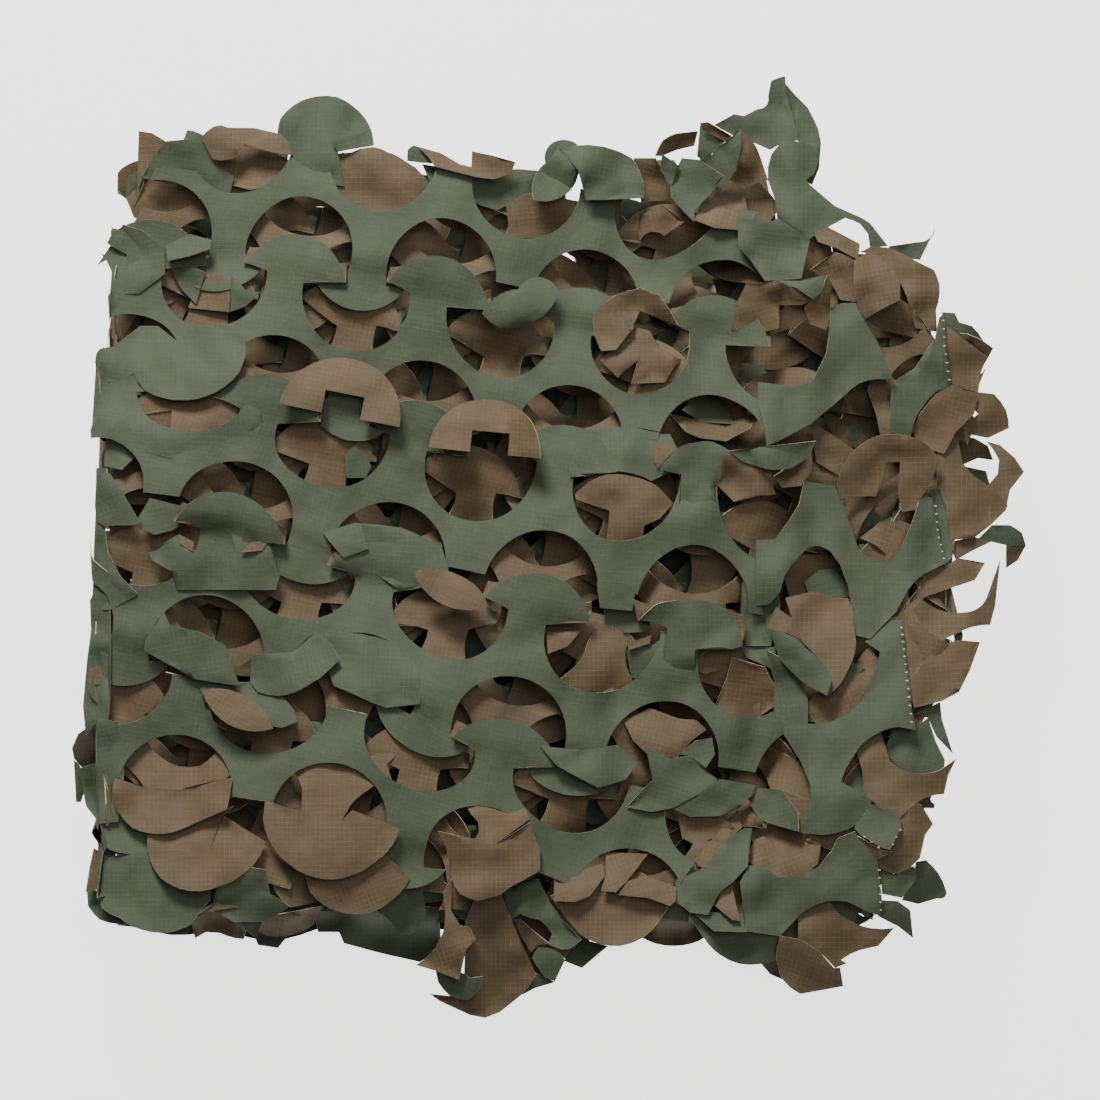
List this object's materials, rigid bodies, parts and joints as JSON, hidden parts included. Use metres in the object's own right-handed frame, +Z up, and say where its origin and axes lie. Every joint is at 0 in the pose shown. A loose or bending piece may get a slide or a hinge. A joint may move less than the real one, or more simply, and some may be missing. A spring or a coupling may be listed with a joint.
{
  "type": "camouflage net",
  "caption": "Camouflage net of thin incised cloth, green on one face and brown on the other, folded back and forth into a flat squarish pad with loose leaves at its edges.",
  "frame": {"origin": "middle of the folded pad's outline, on the surface that it rests on", "axes": "+X to the right along the folded layers, towards the top layer's loose edge; +Y to the back, across the layers; +Z up through the stack"},
  "size_m": [0.4771, 0.4723, 0.0929],
  "materials": {
    "printed_ripstop": "matt"
  },
  "bodies": {
    "root": {"camouflage_net": "printed_ripstop"}
  },
  "joints": []
}
